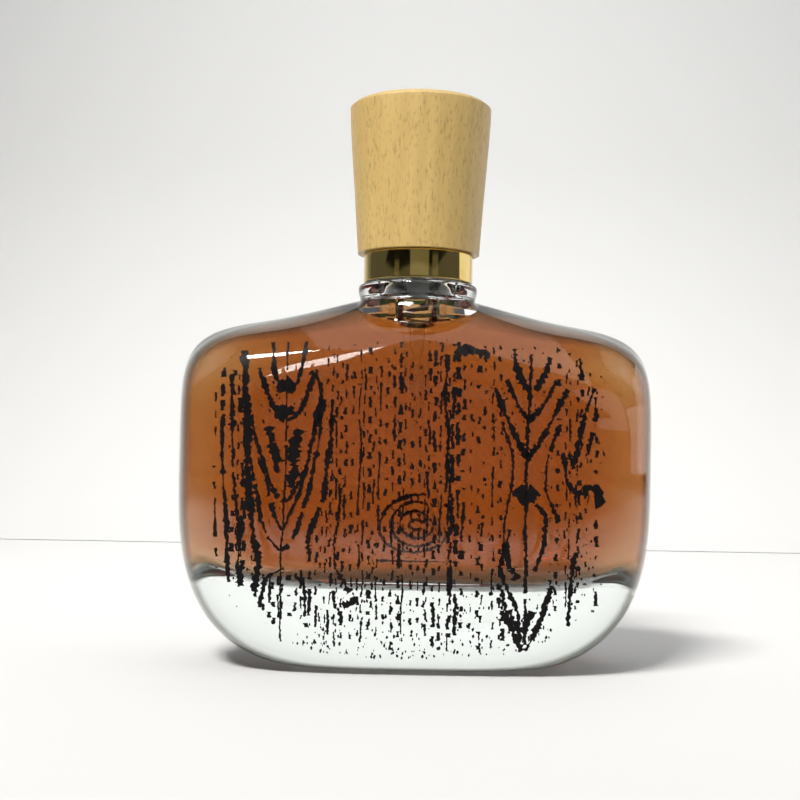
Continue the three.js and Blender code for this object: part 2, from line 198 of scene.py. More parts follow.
CENTRE_Z = 40.5  # the outlines are measured from here, in millimetres
ROOF_SOFTNESS = 0.08
GLASS = {
    "half_depth": 18.7, "flatness": 12, "edge": 2.6, "roof_run": 0.62,
    "middle": (48.3, 36.6, 28.7, 5.8, 43.5, 3.15),
    "face": (45.8, 27.0, 25.0, 5.0, 41.5, 3.4),
}
HOLLOW = {
    "half_depth": 14.1, "flatness": 9, "edge": 2.4, "roof_run": 0.85,
    "middle": (44.5, 34.3, 23.4, 4.6, 25.2, 5.0),
    "face": (42.8, 25.5, 21.0, 4.2, 24.2, 4.8),
}
NECK_ROOT_Z = 73.9
BEAD_TOP_Z = 77.3
BEAD_R = 12.2
FINISH_R = 6.6
CRIMP_Z = 81.1
CRIMP_R = 7.45
BORE_R = 5.1
NECK_FOOT_Z = 60  # how deep the neck and the throat reach into the body
THROAT_R = 9.4
THROAT_Z = 70
LIP_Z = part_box("glass_bottle")[1].z / MM
HEEL = 2.0  # how far up the bottom's rounding reaches
PUSH_UP = (21, 8, 0.9)  # half width, half depth and height of the shallow hollow under the base


def furthest(inside, limit, count):
    """The largest value below limit that is still inside, for each of count directions."""
    low = np.zeros(count)
    high = np.full(count, float(limit))
    for _ in range(40):
        middle = (low + high) / 2
        ok = inside(middle)
        low = np.where(ok, middle, low)
        high = np.where(ok, high, middle)
    return low


def outline_radius(outline, roof_run, angle):
    """How far an outline reaches at each angle: a superellipse whose roof falls from the middle outwards."""
    half_width, rise, shoulder_rise, upper_power, drop, lower_power = outline
    across = np.abs(np.cos(angle))
    up = np.sin(angle)
    power = np.where(up > 0, upper_power, lower_power)

    def inside(radius):
        x = radius * across / half_width
        run = np.hypot(x, ROOF_SOFTNESS) / roof_run
        fall = (rise - shoulder_rise) * run / (1 + run**8) ** (1 / 8)
        height = np.where(up > 0, rise - fall, drop)
        return x**power + (radius * np.abs(up) / height) ** power < 1

    return furthest(inside, 100, len(angle))


def crowded(value):
    """Draws the points of the sphere together where the cushion bends most."""
    return np.sign(value) * np.abs(value) ** 0.8


def cushion_points(unit, shape, grow=0.0):
    """Moves points of a unit sphere, whose poles are the broad faces, onto a cushion, in millimetres."""
    x, y, z = unit.T
    latitude = np.arctan2(crowded(y), crowded(np.hypot(x, z)))
    flat, edge = shape["flatness"], shape["edge"]
    out, deep = np.cos(latitude), np.abs(np.sin(latitude))
    reach = furthest(lambda r: (r * out) ** flat + (r * deep) ** edge < 1, 2, len(x))
    depth = reach * deep
    angle = np.arctan2(crowded(z) * 0.8, crowded(x))
    middle = outline_radius(shape["middle"], shape["roof_run"], angle)
    face = outline_radius(shape["face"], shape["roof_run"], angle)
    radius = reach * out * (middle + (face - middle) * depth + grow)
    along = np.sign(y) * depth * (shape["half_depth"] + grow)
    return np.stack([radius * np.cos(angle), along, CENTRE_Z + radius * np.sin(angle)], axis=1)


def cushion(name, shape, segments, rings, grow=0.0):
    deselect()
    quarter = (math.pi / 2, 0, 0)
    bpy.ops.mesh.primitive_uv_sphere_add(segments=segments, ring_count=rings, radius=1, rotation=quarter)
    piece = named(name)
    bpy.ops.object.transform_apply()
    unit = np.empty(len(piece.data.vertices) * 3)
    piece.data.vertices.foreach_get("co", unit)
    return piece, cushion_points(unit.reshape(-1, 3), shape, grow)


def set_points(piece, points):
    piece.data.vertices.foreach_set("co", (points * MM).ravel())
    piece.data.update()


def rounded(corners, steps):
    """Corners [radius, height, rounding] as a line of points, each rounded corner as a short curve."""
    line = []
    for i, corner in enumerate(corners):
        here = Vector(corner[:2])
        rounding = corner[2] if len(corner) > 2 else 0
        if not rounding:
            line.append(here)
            continue
        before, after = Vector(corners[i - 1][:2]), Vector(corners[(i + 1) % len(corners)][:2])
        start = here + (before - here).normalized() * rounding
        end = here + (after - here).normalized() * rounding
        for k in range(steps + 1):
            t = k / steps
            line.append(start * (1 - t) ** 2 + here * 2 * t * (1 - t) + end * t * t)
    return line


def smooth(degrees):
    bpy.ops.object.shade_smooth_by_angle(angle=math.radians(degrees))


def turned(name, corners, facets=96, ring=False, steps=6, smooth_angle=35):
    """A turned piece. Its corners go up the outside and come down the inside or the axis."""
    line = rounded(corners, steps)
    edges = [(i, i + 1) for i in range(len(line) - 1)]
    if ring:
        edges.append((len(line) - 1, 0))
    mesh = bpy.data.meshes.new(name)
    mesh.from_pydata([(p.x * MM, 0, p.y * MM) for p in line], edges, [])
    piece = placed(name, mesh)
    bpy.ops.object.mode_set(mode="EDIT")
    bpy.ops.mesh.select_all(action="SELECT")
    bpy.ops.mesh.spin(steps=facets, angle=2 * math.pi, center=(0, 0, 0), axis=(0, 0, 1))
    bpy.ops.mesh.select_all(action="SELECT")
    bpy.ops.mesh.remove_doubles(threshold=0.000002)
    bpy.ops.mesh.dissolve_degenerate(threshold=0.000001)
    bpy.ops.mesh.select_all(action="SELECT")
    bpy.ops.mesh.normals_make_consistent(inside=False)
    bpy.ops.object.mode_set(mode="OBJECT")
    smooth(smooth_angle)
    return piece


def cut(piece, tool, operation="DIFFERENCE"):
    choose(piece)
    modifier = piece.modifiers.new(operation, "BOOLEAN")
    modifier.operation = operation
    modifier.solver = "MANIFOLD"
    modifier.object = tool
    bpy.ops.object.modifier_apply(modifier=modifier.name)
    bpy.data.objects.remove(tool)


def throat_corners(grow, top):
    """The hollow under the pump: straight walls that close to the bore. It ends at the corners in top."""
    wide = THROAT_R + grow
    return [(0, NECK_FOOT_Z), (wide, NECK_FOOT_Z), (wide, THROAT_Z + grow, 2.0), *top]


glass, points = cushion("glass_body", GLASS, 216, 108)
low = points[:, 2]
heel = np.where(low < -HEEL, 0.0, (low + HEEL) ** 2 / (4 * HEEL))
points[:, 2] = np.where(low < HEEL, heel, low)
dish = np.clip(1 - (points[:, 0] / PUSH_UP[0]) ** 2 - (points[:, 1] / PUSH_UP[1]) ** 2, 0, 1)
points[:, 2] += np.where(points[:, 2] < 0.5, PUSH_UP[2] * dish**1.2, 0)
set_points(glass, points)
neck = turned("neck", [
    (0, NECK_FOOT_Z), (14.1, NECK_FOOT_Z), (13.6, 68.6, 3.0), (13.0, 71.8, 1.4),
    (BEAD_R - 0.5, NECK_ROOT_Z, 0.6), (BEAD_R, NECK_ROOT_Z + 1.4, 0.8),
    (BEAD_R, BEAD_TOP_Z - 0.6, 0.5), (11.2, BEAD_TOP_Z, 0.6),
    (FINISH_R + 0.6, BEAD_TOP_Z), (FINISH_R, BEAD_TOP_Z + 0.6), (FINISH_R, CRIMP_Z, 0.3),
    (CRIMP_R, CRIMP_Z + 0.7, 0.3), (CRIMP_R, LIP_Z, 0.6), (0, LIP_Z),
], facets=128)
cut(glass, neck, "UNION")
hollow, points = cushion("hollow", HOLLOW, 176, 88)
set_points(hollow, points)
bore = [(BORE_R, BEAD_TOP_Z - 1, 1.5), (BORE_R, LIP_Z + 1), (0, LIP_Z + 1)]
cut(hollow, turned("throat", throat_corners(0, bore), facets=128), "UNION")
cut(glass, hollow)
smooth(50)


def group_input(group, name, kind, value):
    socket = group.interface.new_socket(name=name, in_out="INPUT", socket_type=kind)
    socket.default_value = value


def new_group(name, inputs, outputs):
    """An empty node group with named inputs (name, kind, value) and outputs (name, kind)."""
    group = bpy.data.node_groups.new(name, "ShaderNodeTree")
    for socket_name, kind, value in inputs:
        group_input(group, socket_name, kind, value)
    for socket_name, kind in outputs:
        group.interface.new_socket(name=socket_name, in_out="OUTPUT", socket_type=kind)
    return group, group.nodes.new("NodeGroupInput").outputs, group.nodes.new("NodeGroupOutput").inputs


def maths(tree, operation, first, second, clamp=False):
    node = tree.nodes.new("ShaderNodeMath")
    node.operation = operation
    node.use_clamp = clamp
    for socket, value in zip(node.inputs, (first, second)):
        if isinstance(value, (int, float)):
            socket.default_value = value
        else:
            tree.links.new(value, socket)
    return node.outputs["Value"]


def times(tree, first, second, clamp=False):
    return maths(tree, "MULTIPLY", first, second, clamp)


def stretched_noise(tree, stretch, scale, detail=3.0, distortion=0.0):
    """Noise on Object coordinates, scaled by stretch along X, Y and Z first."""
    place = tree.nodes.new("ShaderNodeTexCoord")
    mapping = tree.nodes.new("ShaderNodeMapping")
    mapping.inputs["Scale"].default_value = stretch
    pattern = tree.nodes.new("ShaderNodeTexNoise")
    if isinstance(scale, (int, float)):
        pattern.inputs["Scale"].default_value = scale
    else:
        tree.links.new(scale, pattern.inputs["Scale"])
    pattern.inputs["Detail"].default_value = detail
    pattern.inputs["Distortion"].default_value = distortion
    tree.links.new(place.outputs["Object"], mapping.inputs["Vector"])
    tree.links.new(mapping.outputs["Vector"], pattern.inputs["Vector"])
    return pattern.outputs["Fac"]


def blended(tree, factor, first, second):
    node = tree.nodes.new("ShaderNodeMix")
    node.data_type = "RGBA"
    tree.links.new(factor, node.inputs["Factor"])
    for socket, value in ((node.inputs["A"], first), (node.inputs["B"], second)):
        if isinstance(value, tuple):
            socket.default_value = value
        else:
            tree.links.new(value, socket)
    return node.outputs["Result"]


def bumped(tree, height, strength, distance):
    node = tree.nodes.new("ShaderNodeBump")
    node.inputs["Distance"].default_value = distance
    if isinstance(strength, (int, float)):
        node.inputs["Strength"].default_value = strength
    else:
        tree.links.new(strength, node.inputs["Strength"])
    tree.links.new(height, node.inputs["Height"])
    return node.outputs["Normal"]


# Moulded glass is never quite true: its skin waves a little, and handling leaves faint smears on it.
clear_glass, shader = new_material("clear_glass")
tree = clear_glass.node_tree
shader.inputs["IOR"].default_value = 1.5
shader.inputs["Transmission Weight"].default_value = 1
# Painted shade: the glass is coloured dark near its silhouette, where light enters it, in place of the dark
# room that darkens the real rim and is not built here.
slant = tree.nodes.new("ShaderNodeLayerWeight").outputs["Facing"]
leaving = tree.nodes.new("ShaderNodeNewGeometry").outputs["Backfacing"]
painted_light_rim = times(tree, maths(tree, "SUBTRACT", slant, 0.52, clamp=True), 6, clamp=True)
painted_light_rim = times(tree, painted_light_rim, maths(tree, "SUBTRACT", 1, leaving), clamp=True)
painted_rim_shade_colour = blended(tree, painted_light_rim, (1, 1, 1, 1), (0.16, 0.16, 0.13, 1))
tree.links.new(painted_rim_shade_colour, shader.inputs["Base Color"])
# The hollow is wetted all over, so hardly anything is mirrored where light leaves the glass.
mirrored = maths(tree, "SUBTRACT", 0.5, times(tree, leaving, 0.44))
tree.links.new(mirrored, shader.inputs["Specular IOR Level"])
smears = maths(tree, "SUBTRACT", stretched_noise(tree, (1, 1, 0.5), 160), 0.62, clamp=True)
tree.links.new(times(tree, smears, 0.05), shader.inputs["Roughness"])
waves = stretched_noise(tree, (1, 1, 0.6), 70, detail=0)
tree.links.new(bumped(tree, waves, 0.12, 0.0002), shader.inputs["Normal"])
absorb = tree.nodes.new("ShaderNodeVolumeAbsorption")
absorb.inputs["Color"].default_value = (0.70, 0.86, 0.79, 1)
absorb.inputs["Density"].default_value = 9
tree.links.new(absorb.outputs["Volume"], tree.nodes["Material Output"].inputs["Volume"])
give(glass, clear_glass)
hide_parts("glass_bottle")
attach(glass, "flacon")

# ---- Fragrance -----------------------------------------------------------------------------------
# The amber liquid fills the hollow to the neck root. It wets the glass, so its skin lies a hair inside the
# glass and no film of air shows. The pump's chamber is empty until the first stroke.

FILL_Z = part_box("fragrance")[1].z / MM
WETTING = 0.05
CHAMBER_R = 3.1
CHAMBER_FLOOR_Z = 64.2
fragrance, points = cushion("amber_fragrance", HOLLOW, 176, 88, WETTING)
set_points(fragrance, points)
meniscus = [(7.70, FILL_Z, 0.1), (6.9, FILL_Z - 0.35, 0.5), (0, FILL_Z - 0.4)]
cut(fragrance, turned("filled_throat", throat_corners(WETTING, meniscus), facets=128), "UNION")
deselect()
bpy.ops.mesh.primitive_cube_add(size=1, location=(0, 0, (FILL_Z + 25) * MM), scale=(0.2, 0.2, 0.05))
cut(fragrance, named("above_the_level"))
air_r = CHAMBER_R - WETTING
air_top_z = LIP_Z + 5
chamber_air = [(0, CHAMBER_FLOOR_Z), (air_r, CHAMBER_FLOOR_Z), (air_r, air_top_z), (0, air_top_z)]
cut(fragrance, turned("chamber_air", chamber_air, facets=64))
smooth(50)

amber, shader = new_material("amber_fragrance")
tree = amber.node_tree
shader.inputs["Base Color"].default_value = (1, 1, 1, 1)
shader.inputs["Roughness"].default_value = 0.0
shader.inputs["IOR"].default_value = 1.36
shader.inputs["Specular IOR Level"].default_value = 0.06
shader.inputs["Transmission Weight"].default_value = 1
ripples = stretched_noise(tree, (1, 1, 1), 45, detail=0)
tree.links.new(bumped(tree, ripples, 0.05, 0.0002), shader.inputs["Normal"])
absorb = tree.nodes.new("ShaderNodeVolumeAbsorption")
absorb.inputs["Color"].default_value = (0.77, 0.47, 0.02, 1)
absorb.inputs["Density"].default_value = 185
tree.links.new(absorb.outputs["Volume"], tree.nodes["Material Output"].inputs["Volume"])
give(fragrance, amber)
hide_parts("fragrance")
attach(fragrance, "flacon")

# ---- Wood-grain print ----------------------------------------------------------------------------
# Black ceramic ink, screened on the broad front face and fired. It draws sawn timber: two figures of nested
# arches, a knot, and broken streaks of grain that fade into specks over the clear base.

INK_STEP = 0.34  # distance between the rungs of a stroke
LIFT = 0.015 * MM  # the ink's lower side over the glass
INK = 0.035 * MM  # its thickness
PRINT_HALF_WIDTH = 37
TRUNK_X = 21.8  # middle of the right figure
HEART_X = -25  # middle of the left figure
ink_draw = Random(11)


def print_top(x):
    return 64.6 - 3.4 * abs(x / PRINT_HALF_WIDTH) ** 4


def print_bottom(x):
    return 4.2 + 12 * abs(x / PRINT_HALF_WIDTH) ** 3.2


def line_through(points, step=INK_STEP):
    """Evenly spaced places along the corners in points, with the corners softened."""
    points = np.array(points, float)
    run = np.concatenate([[0], np.cumsum(np.hypot(*np.diff(points, axis=0).T))])
    at = np.arange(0, run[-1], step)
    line = np.stack([np.interp(at, run, points[:, 0]), np.interp(at, run, points[:, 1])], axis=1)
    padded = np.pad(line, ((2, 2), (0, 0)), mode="edge")
    return sum(padded[k:k + len(line)] for k in range(5)) / 5


def stroke(points, width, broken=0.0, wander=0.35):
    """Ribbons of ink along a line, as left and right edges: ragged, swelling, and with gaps where broken."""
    line = line_through(points)
    place = ink_draw.uniform(0, 900)
    across = np.gradient(line, axis=0)
    across = np.stack([across[:, 1], -across[:, 0]], axis=1)
    across /= np.maximum(np.hypot(*across.T), 1e-6)[:, None]
    ribbons, ribbon = [], []
    for i, (x, z) in enumerate(line):
        spot = i * INK_STEP
        inked = noise.noise(Vector((place, spot * 0.42, 3))) * 0.5 + 0.5
        inked += 0.22 * math.sin(spot * 1.9 + place)
        if inked < broken:
            if len(ribbon) > 1:
                ribbons.append(ribbon)
            ribbon = []
            continue
        drift = wander * noise.noise(Vector((place, spot * 0.16, 0)))
        swell = 0.75 + 0.75 * noise.noise(Vector((place, spot * 0.3, 7)))
        sides = [
            max(0.1, width / 2 * (swell + 0.9 * noise.noise(Vector((place + side, spot * 1.9, side))))
                + ink_draw.uniform(-0.13, 0.16))
            for side in (11, 23)
        ]
        centre = np.array((x, z)) + across[i] * drift
        ribbon.append((centre - across[i] * sides[0], centre + across[i] * sides[1]))
    if len(ribbon) > 1:
        ribbons.append(ribbon)
    return ribbons


def speck(x, z, size):
    """The outline of one ragged fleck of ink, taller than it is wide."""
    corners = []
    for k in range(6):
        reach = size * ink_draw.uniform(0.55, 1.2)
        angle = (k + ink_draw.uniform(-0.2, 0.2)) * math.pi / 3
        corners.append((x + reach * math.cos(angle) * 0.75, z + reach * math.sin(angle) * 1.25))
    return corners


def arch(middle, tip, top, spread, width, bend=0.6, broken=0.1):
    """A nested arch of the grain, open at the top: two arms that meet at the tip."""
    ribbons = []
    for side in (-1, 1):
        rise = np.linspace(0, 1, 14)
        lean = 1 + side * ink_draw.uniform(-0.12, 0.12)
        arm = [(middle + side * lean * spread * t**bend, tip + (top - tip) * t) for t in rise]
        ribbons += stroke(arm, width, broken, 0.5)
    return ribbons


def inside_figure(x, z):
    """Whether a place belongs to one of the two figures, where the plain streaks stop."""
    left = 8.2 * max(0, 1 - ((z - 47) / 27) ** 2) ** 0.5
    right = 5.2 * max(0, 1 - ((z - 45) / 34) ** 2) ** 0.5
    return abs(x - HEART_X) < left or abs(x - TRUNK_X) < right


def ink_sheet(name, ribbons, specks, side):
    """Lays the ribbons and specks on the glass: side is -1 on the front face and 1 on the back."""
    corners, faces = [], []

    def on_glass(x, z):
        hit, place, normal, _ = glass.ray_cast((x * MM, side * 0.1, z * MM), (0, -side, 0))
        corners.append(place + normal * (LIFT + INK))
        return len(corners) - 1

    for ribbon in ribbons:
        rungs = []
        for left, right in ribbon:
            rungs.append((on_glass(*left), on_glass(*right)))
        for (a, b), (c, d) in zip(rungs, rungs[1:]):
            faces.append((a, b, d, c))
    for outline in specks:
        faces.append([on_glass(x, z) for x, z in outline])
    mesh = bpy.data.meshes.new(name)
    mesh.from_pydata(corners, [], faces)
    piece = placed(name, mesh)
    for face in mesh.polygons:
        if face.normal.y * side < 0:
            face.flip()
    solidify = piece.modifiers.new("thickness", "SOLIDIFY")
    solidify.thickness = INK
    solidify.offset = -1
    bpy.ops.object.modifier_apply(modifier=solidify.name)
    return piece


ribbons, specks = [], []
# The left figure: arches inside each other, with the saw line down the middle.
saw_line = [(HEART_X, 64), (HEART_X + 0.2, 40), (HEART_X - 0.4, 22), (HEART_X - 0.3, 6)]
ribbons += stroke(saw_line, 0.42, 0.12, 0.3)
ribbons += arch(HEART_X + 0.2, 54.6, 64.2, 3.4, 1.0, 0.30, 0.0)
ribbons += stroke([(-26.6, 56.2), (-25.2, 54.6), (-23.4, 56.4)], 2.9, 0.0, 0.1)
ribbons += arch(HEART_X + 0.1, 48.6, 58.8, 5.2, 1.15, 0.55, 0.02)
ribbons += stroke([(-26.3, 51.6), (-25.0, 49.4), (-23.6, 51.8)], 1.9, 0.0, 0.1)
ribbons += stroke([(-20.6, 58.2), (-19.0, 56.8), (-18.2, 54.2), (-18.6, 51.2), (-19.8, 46.5)], 1.0, 0.12)
ribbons += stroke([(-28.4, 47.6), (-27.2, 43.6), (-26.4, 38.2)], 2.1, 0.0, 0.3)
ribbons += stroke([(-22.4, 47.2), (-23.6, 43.0), (-23.2, 38.6), (-24.2, 35.4)], 2.3, 0.05, 0.4)
ribbons += arch(HEART_X, 33.0, 50.0, 6.3, 1.0, 0.62, 0.12)
ribbons += arch(HEART_X - 0.2, 27.6, 42.0, 4.6, 0.9, 0.75, 0.2)
ribbons += arch(HEART_X - 0.3, 23.4, 53.0, 8.4, 0.95, 0.55, 0.15)
ribbons += arch(HEART_X - 0.2, 40.6, 47.2, 2.6, 0.7, 0.6, 0.3)
bold_streak = [(-33.4, 62.2), (-32.4, 50), (-32.1, 37), (-30.6, 26), (-29.4, 21.5), (-30.6, 15.4)]
ribbons += stroke(bold_streak, 1.55, 0.0)
ribbons += stroke([(-35.6, 57.6), (-35.0, 40), (-33.6, 29), (-33.4, 16.5)], 0.85, 0.12, 0.3)
ribbons += stroke([(-37.2, 58.8), (-36.9, 41), (-36.0, 28), (-35.4, 17.2)], 0.85, 0.14, 0.3)
ribbons += stroke([(-38.6, 54), (-38.5, 36), (-37.8, 20)], 0.6, 0.45, 0.25)
ribbons += stroke([(-16.0, 50), (-16.6, 41), (-17.6, 34), (-20.4, 26.5), (-20.0, 23)], 1.25, 0.08)
ribbons += stroke([(-13.8, 38), (-14.6, 30), (-16.0, 22), (-15.2, 14)], 0.6, 0.35)
ribbons += stroke([(-24.6, 20.6), (-28.2, 18.8), (-29.4, 12.6)], 1.0, 0.1)
ribbons += stroke([(-24.0, 20.4), (-21.0, 17.6), (-20.4, 9.0)], 0.7, 0.25)
# The right figure: arches over a trunk, with a knot and a loop round it.
trunk = [(TRUNK_X, 62.4), (TRUNK_X - 0.4, 50), (TRUNK_X - 0.8, 36), (TRUNK_X - 0.4, 5.2)]
ribbons += stroke(trunk, 0.85, 0.04, 0.3)
ribbons += stroke([(18.8, 63.4), (18.6, 60.6), (20.0, 56.8), (21.6, 54.6)], 1.8, 0.0, 0.2)
ribbons += stroke([(25.6, 61.8), (24.4, 58.4), (22.4, 54.8)], 1.5, 0.0, 0.2)
ribbons += arch(TRUNK_X - 0.2, 49.4, 57.4, 4.9, 1.0, 0.8, 0.08)
ribbons += stroke([(20.2, 50.9), (21.6, 49.2), (22.8, 50.6)], 1.4, 0.0, 0.1)
ribbons += arch(TRUNK_X - 0.4, 42.4, 55.8, 7.6, 1.2, 0.85, 0.12)
ribbons += stroke([(19.4, 45.2), (21.4, 42.0), (23.2, 45.0)], 1.7, 0.0, 0.1)
trunk_side = [(16.2, 49.2), (18.4, 43), (18.6, 37), (17.2, 30), (16.4, 21), (19.6, 13), (21.0, 5)]
ribbons += stroke(trunk_side, 0.8, 0.1)
ribbons += stroke([(27.6, 49.0), (24.9, 42), (25.0, 36), (27.4, 29.6)], 0.85, 0.16)
ribbons += stroke([(19.4, 36.8), (21.2, 34.4), (23.4, 36.6)], 2.6, 0.0, 0.2)
ribbons += stroke([(22.8, 33.6), (25.0, 31.2), (24.6, 25), (22.6, 20.4)], 1.0, 0.05)
ribbons += stroke([(18.2, 28.8), (17.3, 24.6), (18.4, 20.8)], 1.3, 0.1)
ribbons += stroke([(18.6, 21.4), (19.8, 18.8)], 3.0, 0.0, 0.2)
ribbons += stroke([(34.0, 56), (32.2, 50.6), (31.0, 46), (29.8, 40.6)], 1.1, 0.14)
ribbons += stroke([(33.6, 47.6), (32.8, 42.6)], 1.0, 0.05)
ribbons += stroke([(28.0, 43.6), (28.6, 38.2), (30.6, 35.8), (33.4, 35.6)], 0.95, 0.05)
ribbons += stroke([(29.4, 43.4), (30.2, 39.8)], 0.95, 0.1)
ribbons += stroke([(31.6, 36.4), (33.6, 36.8), (35.4, 35.4), (34.6, 33.8), (32.4, 34.4)], 1.7, 0.16, 0.5)
ribbons += stroke([(30.4, 24), (29.8, 17.5), (29.6, 10)], 1.1, 0.06)
ribbons += arch(TRUNK_X - 0.6, 5.4, 18.6, 5.4, 1.35, 0.7, 0.08)
ribbons += arch(TRUNK_X - 1.2, 8.8, 13.6, 2.2, 1.5, 0.6, 0.05)
# The shake at the top middle, and its leg.
ribbons += stroke([(7.0, 61.6), (9.2, 62.8), (12.2, 62.2), (14.4, 61.8)], 2.2, 0.06, 0.5)
ribbons += stroke([(5.6, 62), (5.4, 55), (6.0, 47), (5.9, 35)], 0.95, 0.16)
ribbons += stroke([(-14.6, 19.8), (-12.8, 17.2), (-11.2, 14.8), (-13.8, 13.6)], 1.5, 0.1, 0.4)
# The plain grain between and beside the figures.
x = -PRINT_HALF_WIDTH + 2
while x < PRINT_HALF_WIDTH - 1.5:
    top = print_top(x) - ink_draw.choice((0.5, 2, 5, 9)) * ink_draw.random()
    bottom = print_bottom(x) + 5 * ink_draw.random()
    lean = ink_draw.uniform(-0.5, 0.5)
    heights = np.linspace(top, bottom, 12)
    way = [(x + lean * k / 12, z) for k, z in enumerate(heights) if not inside_figure(x, z)]
    thick = ink_draw.choice((0.40, 0.50, 0.65, 0.90))
    if len(way) > 2:
        parts = [way]
        jump = max(range(1, len(way)), key=lambda k: way[k - 1][1] - way[k][1])
        # A figure in the way cuts the streak in two.
        if way[jump - 1][1] - way[jump][1] > (top - bottom) / 8:
            parts = [way[:jump], way[jump:]]
        for run in parts:
            if len(run) > 1:
                ribbons += stroke(run, thick, ink_draw.uniform(0.32, 0.58), 0.4)
    x += ink_draw.uniform(0.75, 1.6)
for _ in range(950):
    x = ink_draw.uniform(-PRINT_HALF_WIDTH + 1, PRINT_HALF_WIDTH - 1)
    z = ink_draw.uniform(print_bottom(x) - 0.6, print_top(x))
    # Specks gather in loose drifts.
    if noise.noise(Vector((x * 0.16, z * 0.07, 5))) > -0.12 + 0.3 * (abs(x - HEART_X) < 8):
        specks.append(speck(x, z, ink_draw.choice((0.14, 0.18, 0.24, 0.34))))
for _ in range(230):
    x = ink_draw.uniform(-23, 26)
    z = print_bottom(x) + 11 * ink_draw.random() ** 1.4 - 0.6
    specks.append(speck(x, z, ink_draw.choice((0.16, 0.24, 0.36))))
grain_print = ink_sheet("wood_grain_print", ribbons, specks, -1)

fired_ink, shader = new_material("fired_black_ink")
tree = fired_ink.node_tree
mottle = stretched_noise(tree, (1, 1, 0.4), 1800)
ink_colour = blended(tree, mottle, (0.002, 0.002, 0.003, 1), (0.009, 0.007, 0.007, 1))
tree.links.new(ink_colour, shader.inputs["Base Color"])
tree.links.new(maths(tree, "ADD", times(tree, mottle, 0.35), 0.3), shader.inputs["Roughness"])
tree.links.new(bumped(tree, mottle, 0.4, 0.00003), shader.inputs["Normal"])
shader.inputs["Specular IOR Level"].default_value = 0.12
give(grain_print, fired_ink)
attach(grain_print, "flacon")

# ---- Mark on the far face ------------------------------------------------------------------------
# A plain roundel of growth rings over a short rule, in the same ink on the back face. It shows through the
# fragrance, and it stands where a maker's lettering would be.

ROUNDEL_X, ROUNDEL_Z = 0.6, 27.5
RULE_Z = 18.4
rings = []
for radius in (1.2, 2.9, 4.6, 6.4):
    turn = np.linspace(0.2 * radius, 0.2 * radius + 2 * math.pi - 0.5, 40)
    uneven = [radius * (1 + 0.05 * math.sin(2 * a + radius)) for a in turn]
    across = [ROUNDEL_X + 1.2 * r * math.cos(a) for r, a in zip(uneven, turn)]
    up = [ROUNDEL_Z + r * math.sin(a) for r, a in zip(uneven, turn)]
    rings += stroke(list(zip(across, up)), 0.85, 0.0, 0.15)
rings += stroke([(-8.8, RULE_Z), (10, RULE_Z)], 0.8, 0.0, 0.1)
far_mark = ink_sheet("growth_ring_mark", rings, [], 1)
give(far_mark, fired_ink)
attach(far_mark, "flacon")

# ---- Pump housing and dip tube -------------------------------------------------------------------
# The pump's body is moulded in clear polypropylene and hangs in the neck by its flange. The dip tube is
# pushed up into its tail and curves to the corner of the bottle. Both all but vanish in the liquid.

SOCKET_R = 1.25
SOCKET_Z = 55.5
SOCKET_TOP_Z = 60.3
BALL_POCKET_Z = 62.2
INLET_R = 0.6
HOUSING_R = 4.3
SEAL_SEAT_R = 3.65
SEAL_SEAT_Z = 82.3
FLANGE_R = 7.2
FLANGE_Z = 85.8
FLANGE_TOP_Z = 86.5
housing = turned("clear_pump_housing", [
    (SOCKET_R + 1.2, SOCKET_Z, 0.3), (SOCKET_R + 1.35, BALL_POCKET_Z, 0.8),
    (HOUSING_R, CHAMBER_FLOOR_Z + 1.2, 0.8), (HOUSING_R, FLANGE_Z, 0.15),
    (FLANGE_R, FLANGE_Z, 0.1), (FLANGE_R, FLANGE_TOP_Z, 0.15), (SEAL_SEAT_R, FLANGE_TOP_Z, 0.1),
    (SEAL_SEAT_R, SEAL_SEAT_Z), (CHAMBER_R, SEAL_SEAT_Z, 0.1),
    (CHAMBER_R, CHAMBER_FLOOR_Z, 0.3), (SOCKET_R, CHAMBER_FLOOR_Z, 0.1),
    (SOCKET_R, BALL_POCKET_Z, 0.2), (INLET_R, BALL_POCKET_Z - 0.8, 0.1), (INLET_R, SOCKET_TOP_Z),
    (SOCKET_R, SOCKET_TOP_Z, 0.1), (SOCKET_R, SOCKET_Z, 0.15),
], facets=64, ring=True, steps=3)


def curved_tube(name, points, radius, wall=0.0):
    """A round bar or tube along points in millimetres."""
    curve = bpy.data.curves.new(name, "CURVE")
    curve.dimensions = "3D"
    spline = curve.splines.new("NURBS")
    spline.points.add(len(points) - 1)
    for knot, point in zip(spline.points, points):
        knot.co = (*(value * MM for value in point), 1)
    spline.use_endpoint_u = True
    spline.order_u = 4
    spline.resolution_u = 6
    curve.bevel_depth = radius * MM
    curve.bevel_resolution = 6
    curve.use_fill_caps = not wall
    piece = placed(name, curve)
    bpy.ops.object.convert(target="MESH")
    piece = bpy.context.object
    bpy.ops.object.mode_set(mode="EDIT")
    bpy.ops.mesh.select_all(action="SELECT")
    bpy.ops.mesh.remove_doubles(threshold=0.000001)
    bpy.ops.mesh.normals_make_consistent(inside=False)
    bpy.ops.object.mode_set(mode="OBJECT")
    if wall:
        solidify = piece.modifiers.new("wall", "SOLIDIFY")
        solidify.thickness = wall * MM
        solidify.offset = -1
        bpy.ops.object.modifier_apply(modifier=solidify.name)
    smooth(40)
    return piece


tube_way = [
    (0, 0, SOCKET_TOP_Z - 0.2), (0, 0, 57), (0, 0, 54.5), (1.2, 0, 44), (4.4, 0, 30), (6.4, 0, 23.4),
    (9, 0, 16.8),
]
dip_tube = curved_tube("clear_dip_tube", tube_way, 1.15, 0.4)


